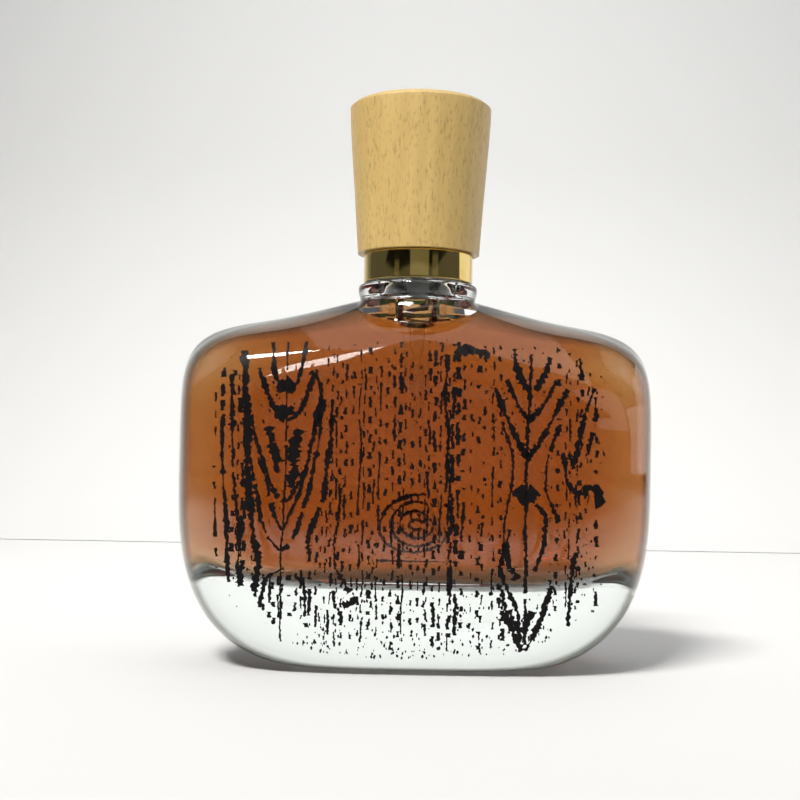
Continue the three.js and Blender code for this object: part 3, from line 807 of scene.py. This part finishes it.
def clear_plastic(name, seen_ior):
    """Clear plastic. In the liquid it bends light only by the ratio of the two, so that is its IOR."""
    material, shader = new_material(name)
    tree = material.node_tree
    shader.inputs["Base Color"].default_value = (0.97, 0.98, 0.98, 1)
    shader.inputs["IOR"].default_value = seen_ior
    shader.inputs["Transmission Weight"].default_value = 1
    flow = stretched_noise(tree, (1, 1, 0.3), 500)
    tree.links.new(times(tree, flow, 0.12), shader.inputs["Roughness"])
    tree.links.new(bumped(tree, flow, 0.1, 0.00005), shader.inputs["Normal"])
    return material


give(housing, clear_plastic("clear_polypropylene", 1.08))
give(dip_tube, clear_plastic("clear_tube", 1.03))
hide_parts("pump_housing")
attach(housing, "flacon")
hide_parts("dip_tube")
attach(dip_tube, "flacon")

# ---- Turret, stem seal and neck gasket -----------------------------------------------------------
# The turret plugs the top of the housing and guides the stem. The soft seal under it wipes the stem, and the
# gasket seals the housing's flange on the glass lip. The ferrule clamps all three together.

PLUG_R = 3.5
PLUG_Z = 83.35
TURRET_R = 4.75
TURRET_TOP_Z = 88.8
turret = turned("turret_plug", [
    (PLUG_R, PLUG_Z, 0.15), (PLUG_R, FLANGE_TOP_Z + 0.05), (TURRET_R, FLANGE_TOP_Z + 0.05, 0.1),
    (TURRET_R, TURRET_TOP_Z, 0.45), (3.1, TURRET_TOP_Z, 0.2), (2.7, TURRET_TOP_Z - 0.3, 0.2),
    (1.9, TURRET_TOP_Z - 0.3, 0.15), (1.9, PLUG_Z, 0.1),
], facets=64, ring=True, steps=4)
SEAL_Z = SEAL_SEAT_Z + 0.1
SEAL_TOP_Z = PLUG_Z - 0.05
stem_seal = turned("soft_stem_seal", [
    (PLUG_R, SEAL_Z, 0.15), (PLUG_R, SEAL_TOP_Z, 0.15), (2.2, SEAL_TOP_Z, 0.2),
    (1.8, SEAL_TOP_Z - 0.25, 0.1), (1.8, SEAL_Z + 0.2, 0.1), (2.2, SEAL_Z, 0.2),
], facets=64, ring=True, steps=3)
GASKET_Z = LIP_Z + 0.05
GASKET_TOP_Z = FLANGE_Z - 0.05
gasket = turned("flat_neck_gasket", [
    (7.35, GASKET_Z, 0.2), (7.35, GASKET_TOP_Z, 0.2), (5.2, GASKET_TOP_Z, 0.2), (5.2, GASKET_Z, 0.2),
], facets=96, ring=True, steps=4)

# Moulded plastic and rubber: a faint flow mottle, and a fine satin grain in the gloss and in the surface.
moulded, given, result = new_group(
    "moulded_skin",
    [("Colour", "NodeSocketColor", (0.8, 0.8, 0.8, 1)), ("Shade", "NodeSocketColor", (0.6, 0.6, 0.6, 1)),
     ("Grain Scale", "NodeSocketFloat", 1500), ("Gloss Floor", "NodeSocketFloat", 0.3),
     ("Grain Depth", "NodeSocketFloat", 0.2)],
    [("Colour", "NodeSocketColor"), ("Roughness", "NodeSocketFloat"), ("Normal", "NodeSocketVector")],
)
flow = stretched_noise(moulded, (1, 1, 0.4), 350)
grain = stretched_noise(moulded, (1, 1, 1), given["Grain Scale"])
moulded.links.new(blended(moulded, flow, given["Colour"], given["Shade"]), result["Colour"])
gloss = maths(moulded, "ADD", times(moulded, grain, 0.22), given["Gloss Floor"])
moulded.links.new(gloss, result["Roughness"])
moulded.links.new(bumped(moulded, grain, given["Grain Depth"], 0.00005), result["Normal"])


def moulded_material(name, colour, shade, scale, gloss_floor, depth):
    material, shader = new_material(name)
    tree = material.node_tree
    skin = tree.nodes.new("ShaderNodeGroup")
    skin.node_tree = moulded
    for socket, value in zip(skin.inputs, (colour, shade, scale, gloss_floor, depth)):
        socket.default_value = value
    tree.links.new(skin.outputs["Colour"], shader.inputs["Base Color"])
    tree.links.new(skin.outputs["Roughness"], shader.inputs["Roughness"])
    tree.links.new(skin.outputs["Normal"], shader.inputs["Normal"])
    return material, shader


white_plastic, shader = moulded_material(
    "natural_polypropylene", (0.84, 0.84, 0.80, 1), (0.74, 0.74, 0.71, 1), 2200, 0.26, 0.15)
shader.inputs["Subsurface Weight"].default_value = 0.15
shader.inputs["Subsurface Radius"].default_value = (0.001, 0.001, 0.0008)
white_rubber, shader = moulded_material(
    "white_rubber", (0.70, 0.70, 0.67, 1), (0.58, 0.58, 0.56, 1), 3200, 0.6, 0.35)
give(turret, white_plastic)
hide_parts("turret")
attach(turret, "flacon")
for piece, node in ((stem_seal, "stem_seal"), (gasket, "neck_gasket")):
    give(piece, white_rubber)
    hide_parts(node)
    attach(piece, "flacon")

# ---- Piston, valve pin and stem ------------------------------------------------------------------
# The hollow stem carries the piston, whose thin lips seal in the chamber. The pin under it shuts the stem
# until the pressure opens it. They are pressed together and move as one.

PISTON_Z = 76.9
PISTON_R = 2.95
WAIST_R = 2.55
piston = turned("lipped_piston", [
    (PISTON_R, PISTON_Z, 0.1), (WAIST_R, PISTON_Z + 0.9, 0.5), (WAIST_R, PISTON_Z + 1.9, 0.5),
    (PISTON_R, PISTON_Z + 3.2, 0.1), (WAIST_R, PISTON_Z + 3.2, 0.1), (2.1, PISTON_Z + 2.4, 0.2),
    (1.75, PISTON_Z + 2.4, 0.05), (1.75, PISTON_Z, 0.1),
], facets=64, ring=True, steps=3)
valve_pin = turned("valve_pin_turned", [
    (0, 73.3), (2.4, 73.3, 0.2), (2.6, 73.6, 0.1), (2.6, 74.3, 0.3), (1.2, PISTON_Z - 0.3, 0.4),
    (0.6, PISTON_Z, 0.1), (0.6, PISTON_Z + 2.5, 0.2), (0, PISTON_Z + 2.9),
], facets=48, steps=3)
STEM_TOP_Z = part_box("stem")[1].z / MM
STEM_R = 1.7
STEM_BORE_R = 0.7
stem = turned("hollow_stem", [
    (STEM_R, PISTON_Z + 0.2, 0.1), (STEM_R, STEM_TOP_Z, 0.25), (STEM_BORE_R, STEM_TOP_Z, 0.15),
    (STEM_BORE_R, PISTON_Z + 0.2, 0.1),
], facets=48, ring=True, steps=3)
for piece, node in ((piston, "piston"), (valve_pin, "valve_pin"), (stem, "stem")):
    give(piece, white_plastic)
    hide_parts(node)
    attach(piece, "stem")

# ---- Pump spring and inlet ball ------------------------------------------------------------------
# A stainless wire coil with a closed turn at each end, which pushes the pin up, and the small glass ball
# that shuts the inlet when the button is pressed.

spring_low, spring_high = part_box("pump_spring")
WIRE_R = 0.22
COIL_R = 2.3
TURNS = 8
coil = []
for k in range(TURNS * 12 + 1):
    done = k / (TURNS * 12)
    climb = min(max((done - 1 / TURNS) / (1 - 2 / TURNS), 0), 1)
    lie = 2 * WIRE_R * (min(done * TURNS, 1) + max(done * TURNS - TURNS + 1, 0))
    rise = (spring_high.z - spring_low.z) / MM - 6 * WIRE_R
    turn = 2 * math.pi * done * TURNS
    height = spring_low.z / MM + WIRE_R + lie + rise * climb
    coil.append((COIL_R * math.cos(turn), COIL_R * math.sin(turn), height))
spring = curved_tube("return_spring", coil, WIRE_R)
deselect()
ball_place = (0, 0, (BALL_POCKET_Z + 0.3) * MM)
bpy.ops.mesh.primitive_uv_sphere_add(segments=48, ring_count=24, radius=MM, location=ball_place)
bpy.ops.object.transform_apply()
ball = named("check_ball")
bpy.ops.object.shade_smooth()

# Drawn or rolled metal: fine lines in the gloss along one direction, and a faint cloud of tarnish.
drawn_metal, given, result = new_group(
    "drawn_metal",
    [("Colour", "NodeSocketColor", (0.8, 0.8, 0.8, 1)), ("Tarnish", "NodeSocketColor", (0.6, 0.6, 0.6, 1)),
     ("Gloss Floor", "NodeSocketFloat", 0.1), ("Line Depth", "NodeSocketFloat", 0.1)],
    [("Colour", "NodeSocketColor"), ("Roughness", "NodeSocketFloat"), ("Normal", "NodeSocketVector")],
)
cloud = stretched_noise(drawn_metal, (1, 1, 1), 260, detail=5)
lines = stretched_noise(drawn_metal, (1, 1, 14), 260, detail=4)
cloudy = maths(drawn_metal, "SUBTRACT", times(drawn_metal, cloud, 2.2), 0.7, clamp=True)
drawn_metal.links.new(blended(drawn_metal, cloudy, given["Colour"], given["Tarnish"]), result["Colour"])
gloss = maths(drawn_metal, "ADD", times(drawn_metal, lines, 0.12), given["Gloss Floor"])
drawn_metal.links.new(gloss, result["Roughness"])
drawn_metal.links.new(bumped(drawn_metal, lines, given["Line Depth"], 0.00002), result["Normal"])


def metal_material(name, colour, tarnish, gloss_floor, depth):
    material, shader = new_material(name)
    tree = material.node_tree
    shader.inputs["Metallic"].default_value = 1
    skin = tree.nodes.new("ShaderNodeGroup")
    skin.node_tree = drawn_metal
    for socket, value in zip(skin.inputs, (colour, tarnish, gloss_floor, depth)):
        socket.default_value = value
    tree.links.new(skin.outputs["Colour"], shader.inputs["Base Color"])
    tree.links.new(skin.outputs["Roughness"], shader.inputs["Roughness"])
    tree.links.new(skin.outputs["Normal"], shader.inputs["Normal"])
    return material


steel = metal_material("spring_steel", (0.62, 0.63, 0.65, 1), (0.50, 0.50, 0.52, 1), 0.12, 0.1)
give(spring, steel)
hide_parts("pump_spring")
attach(spring, "flacon")
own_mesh(spring)
give(ball, clear_plastic("ball_glass", 1.1))
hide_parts("inlet_ball")
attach(ball, "ball")

# ---- Ferrule -------------------------------------------------------------------------------------
# A thin aluminium cup over the glass lip. It clamps the gasket, the flange and the turret, and its skirt is
# rolled in under the lip all round, which no hand can undo.

ferrule = turned("crimped_ferrule", [
    (7.0, 80.5, 0.1), (7.95, 81.1, 0.35), (7.95, 86.9, 0.6), (5.0, 86.9, 0.1), (5.0, 86.55, 0.05),
    (7.6, 86.55, 0.3), (7.6, 81.45, 0.2), (7.0, 80.9, 0.1),
], facets=128, ring=True, steps=5)
give(ferrule, metal_material("ferrule_aluminium", (0.80, 0.81, 0.82, 1), (0.68, 0.69, 0.70, 1), 0.2, 0.3))
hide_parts("ferrule")
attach(ferrule, "flacon")

# ---- Collar and its liner ------------------------------------------------------------------------
# A drawn aluminium ring, gold anodised and mirror polished, in two steps: the wide skirt that shows and the
# boss that the cap grips. A plastic liner, snapped on the ferrule, holds it.

collar_low, collar_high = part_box("collar")
SKIRT_R = collar_high.x / MM
SKIRT_Z = collar_low.z / MM
BOSS_Z = collar_high.z / MM
LEDGE_Z = SKIRT_Z + 5.9
BOSS_R = 9.7
SHEET = 0.4  # the thickness of the drawn sheet
collar = turned("gold_collar", [
    (SKIRT_R - 0.05, SKIRT_Z, 0.1), (SKIRT_R, SKIRT_Z + 0.35, 0.1), (SKIRT_R, LEDGE_Z, 0.35),
    (BOSS_R, LEDGE_Z, 0.2), (BOSS_R, BOSS_Z, 0.55), (6.9, BOSS_Z, 0.15), (6.9, BOSS_Z - SHEET, 0.1),
    (BOSS_R - SHEET, BOSS_Z - SHEET, 0.3), (BOSS_R - SHEET, LEDGE_Z - SHEET, 0.1),
    (SKIRT_R - SHEET, LEDGE_Z - SHEET, 0.2), (SKIRT_R - SHEET, SKIRT_Z, 0.1),
], facets=160, ring=True)
LINER_R = 10.7
LINER_NECK_R = 9.2
liner = turned("collar_liner_ring", [
    (LINER_R, SKIRT_Z + 0.3, 0.2), (LINER_R, LEDGE_Z - 0.5, 0.2), (LINER_NECK_R, LEDGE_Z - 0.5, 0.1),
    (LINER_NECK_R, BOSS_Z - 1, 0.2), (8.1, BOSS_Z - 1, 0.2), (8.1, 80.5, 0.1), (7.2, 80.1, 0.2),
    (7.2, 79.3, 0.2), (7.95, SKIRT_Z + 0.3, 0.2),
], facets=96, ring=True, steps=4)
gold = metal_material("polished_gold", (0.86, 0.66, 0.24, 1), (0.78, 0.56, 0.17, 1), 0.015, 0.05)
give(collar, gold)
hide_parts("collar")
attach(collar, "flacon")
give(liner, white_plastic)
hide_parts("collar_liner")
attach(liner, "flacon")

# ---- Spray button --------------------------------------------------------------------------------
# A plastic button, pushed on the stem and dressed in a gold aluminium shell with a shallow finger dish. The
# nozzle insert is pressed in at the front, through a round window in the shell.

shell_low, shell_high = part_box("button_shell")
BUTTON_R = shell_high.x / MM
BUTTON_Z = shell_low.z / MM
BUTTON_TOP_Z = shell_high.z / MM
NOZZLE_Z = 97.5
NOZZLE_R = 1.5
SHELL_WALL = 0.3
DISH = 0.5  # how deep the finger dish is
RIM_R = 4.9
shell_inside_z = BUTTON_TOP_Z - SHELL_WALL
shell_corners = [
    (BUTTON_R, BUTTON_Z, 0.1), (BUTTON_R, BUTTON_TOP_Z, 0.8), (RIM_R, BUTTON_TOP_Z, 0.5),
    (3.2, BUTTON_TOP_Z - 0.42, 1.2), (0, BUTTON_TOP_Z - DISH), (0, shell_inside_z - DISH),
    (3.2, shell_inside_z - 0.42, 1.2), (RIM_R, shell_inside_z, 0.4),
    (BUTTON_R - SHELL_WALL, shell_inside_z, 0.6), (BUTTON_R - SHELL_WALL, BUTTON_Z, 0.1),
]
shell = turned("button_shell_gold", shell_corners + shell_corners[:1], facets=128)
CORE_R = BUTTON_R - SHELL_WALL - 0.1
CORE_WALL = 0.9
POST_R = 2.7
SOCKET_IN_POST_R = 1.8
core_hollow_r = CORE_R - CORE_WALL
button = turned("spray_button_core", [
    (POST_R, BUTTON_Z + 2.5, 0.2), (POST_R, BUTTON_Z + 4.4, 0.2), (core_hollow_r, BUTTON_Z + 4.4, 0.3),
    (core_hollow_r, BUTTON_Z + 0.3, 0.1), (CORE_R, BUTTON_Z + 0.3, 0.1), (CORE_R, BUTTON_TOP_Z - 1.3, 0.3),
    (0, BUTTON_TOP_Z - 1.3), (0, NOZZLE_Z + 0.7), (STEM_BORE_R, NOZZLE_Z + 0.7),
    (STEM_BORE_R, STEM_TOP_Z + 0.1), (SOCKET_IN_POST_R, STEM_TOP_Z + 0.1),
    (SOCKET_IN_POST_R, BUTTON_Z + 2.5, 0.2), (POST_R, BUTTON_Z + 2.5),
], facets=96, steps=3)
nozzle = turned("swirl_nozzle", [
    (0.8, -0.1, 0.05), (0.95, 0.2, 0.08), (1.5, 0.2, 0.12), (1.5, -3.2, 0.15), (0.25, -3.2, 0.05),
    (0.25, -0.9, 0.05), (0.13, -0.7), (0.13, -0.1), (0.4, -0.12, 0.05),
], facets=64, ring=True, steps=3)


def facing_front(piece, reach):
    """Lays a piece that was turned about Z along -Y, at the nozzle's height and reach millimetres out."""
    piece.rotation_euler = (math.pi / 2, 0, 0)
    piece.location = (0, -reach * MM, NOZZLE_Z * MM)
    choose(piece)
    bpy.ops.object.transform_apply()
    return piece


def drill(radius, deep, out):
    """A round bit at the nozzle's height, which reaches from deep to out millimetres in front of the axis."""
    hole = turned("hole", [(0, out), (radius, out), (radius, deep), (0, deep)], facets=64)
    return facing_front(hole, 0)


facing_front(nozzle, BUTTON_R)
cut(shell, drill(NOZZLE_R + 0.25, 3, 8))
cut(button, drill(NOZZLE_R + 0.1, 2.6, 8))
cut(button, drill(0.5, 0, 3))
for piece in (shell, button):
    choose(piece)
    smooth(35)
give(shell, gold)
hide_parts("button_shell")
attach(shell, "button")
for piece, node in ((button, "spray_button"), (nozzle, "nozzle_insert")):
    give(piece, white_plastic)
    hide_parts(node)
    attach(piece, "button")

# ---- Wooden cap and its liner --------------------------------------------------------------------
# Turned from pale beech with the grain upright, wider towards the top, its rim rounded over, sanded and
# satin lacquered. A ribbed plastic cup is pressed into it and grips the collar.

cap_low, cap_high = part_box("wood_cap")
CAP_Z, CAP_TOP = cap_low.z / MM, cap_high.z / MM
CAP_BORE_R = 10.7
CAP_BORE_TOP_Z = 108.5
cap = turned("turned_cap", [
    (12.5, CAP_Z, 0.35), (12.75, CAP_Z + 3.6, 1.5), (13.1, CAP_Z + 9, 3), (14.0, CAP_Z + 20.5, 3),
    (14.5, CAP_Z + 27.5, 2.5), (14.55, CAP_TOP - 1.5, 1.2), (13.2, CAP_TOP - 0.35, 0.9),
    (8, CAP_TOP - 0.1, 3), (0, CAP_TOP), (0, CAP_BORE_TOP_Z), (CAP_BORE_R, CAP_BORE_TOP_Z, 0.5),
    (CAP_BORE_R, CAP_Z, 0.3), (12.5, CAP_Z),
], facets=192, steps=7)
CUP_R = CAP_BORE_R - 0.1
CUP_Z = CAP_Z + 0.4
CUP_TOP_Z = CAP_BORE_TOP_Z - 0.2
CUP_THROAT_R = 8.6
GRIP_R = 9.85
cap_liner = turned("ribbed_cap_liner", [
    (CUP_R, CUP_Z, 0.1), (CUP_R, CUP_TOP_Z, 0.3), (0, CUP_TOP_Z), (0, 107.1), (CUP_THROAT_R, 107.1, 0.3),
    (CUP_THROAT_R, 92.4, 0.2), (GRIP_R, 91.9, 0.2), (GRIP_R, CUP_Z, 0.2), (CUP_R, CUP_Z),
], facets=128, steps=4)
RIBS = 12
RIB_R = 8.45
RIB_SIZE = (0.9 * MM, 0.6 * MM, 14.4 * MM)
for k in range(RIBS):
    turn = 2 * math.pi * k / RIBS + 0.05
    deselect()
    spot = (RIB_R * math.cos(turn) * MM, RIB_R * math.sin(turn) * MM, 100 * MM)
    bpy.ops.mesh.primitive_cube_add(size=1, location=spot, rotation=(0, 0, turn), scale=RIB_SIZE)
    cut(cap_liner, named("rib"), "UNION")
choose(cap_liner)
smooth(35)

# Beech: growth rings round a heart that lies outside the blank, short dark flecks along the grain and fine
# fibres. The top and its rounded rim are painted paler, a painted highlight where light catches them.
beech, shader = new_material("turned_beech")
tree = beech.node_tree
PITH = (0.055, 0.035)  # where the heart of the tree would be
place = tree.nodes.new("ShaderNodeTexCoord").outputs["Object"]
apart = tree.nodes.new("ShaderNodeSeparateXYZ")
tree.links.new(place, apart.inputs["Vector"])
sway = stretched_noise(tree, (1, 1, 0.12), 55, detail=2)
x_out = maths(tree, "SUBTRACT", apart.outputs["X"], PITH[0])
x_out = maths(tree, "ADD", x_out, times(tree, sway, 0.006))
y_out = maths(tree, "SUBTRACT", apart.outputs["Y"], PITH[1])
x_square = times(tree, x_out, x_out)
y_square = times(tree, y_out, y_out)
squares = maths(tree, "ADD", x_square, y_square)
reach = maths(tree, "POWER", squares, 0.5)
RING_WIDTH = 0.0032
rings_wave = maths(tree, "SINE", times(tree, reach, 2 * math.pi / RING_WIDTH), 0)
rings_mask = times(tree, maths(tree, "ADD", rings_wave, 1), 0.5)
soft_bands = stretched_noise(tree, (1, 1, 0.07), 240, detail=4)
fibres = stretched_noise(tree, (1, 1, 0.045), 1500, detail=4)
fleck_noise = stretched_noise(tree, (1, 1, 0.26), 2300, detail=2, distortion=0.2)
fleck_gate = stretched_noise(tree, (1, 1, 0.5), 170, detail=1)
flecks = times(tree, maths(tree, "SUBTRACT", fleck_noise, 0.54, clamp=True), 7, clamp=True)
flecks = times(tree, flecks, times(tree, fleck_gate, 1.5, clamp=True), clamp=True)
base_wood = blended(tree, soft_bands, (0.60, 0.39, 0.115, 1), (0.80, 0.56, 0.19, 1))
ringed = blended(tree, times(tree, rings_mask, 0.28), base_wood, (0.50, 0.31, 0.095, 1))
fibred = blended(tree, times(tree, fibres, 0.42), ringed, (0.84, 0.63, 0.29, 1))
flecked = blended(tree, times(tree, flecks, 0.62), fibred, (0.36, 0.205, 0.07, 1))
# Painted highlight: the top two millimetres of the cap are painted paler, where light catches the rounded
# rim.
painted_light_rim = tree.nodes.new("ShaderNodeMapRange")
painted_light_rim.inputs["From Min"].default_value = CAP_TOP * MM - 0.0022
painted_light_rim.inputs["From Max"].default_value = CAP_TOP * MM - 0.0002
tree.links.new(apart.outputs["Z"], painted_light_rim.inputs["Value"])
painted_top_highlight = blended(tree, times(tree, painted_light_rim.outputs["Result"], 0.45), flecked, (0.80, 0.64, 0.37, 1))
tree.links.new(painted_top_highlight, shader.inputs["Base Color"])
tree.links.new(maths(tree, "ADD", times(tree, fibres, 0.2), 0.36), shader.inputs["Roughness"])
relief = maths(tree, "SUBTRACT", times(tree, fibres, 0.5), flecks)
tree.links.new(bumped(tree, relief, 0.35, 0.00012), shader.inputs["Normal"])
shader.inputs["Coat Weight"].default_value = 0.18
shader.inputs["Coat Roughness"].default_value = 0.28
give(cap, beech)
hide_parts("wood_cap")
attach(cap, "cap")
give(cap_liner, white_plastic)
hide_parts("cap_liner")
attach(cap_liner, "cap")
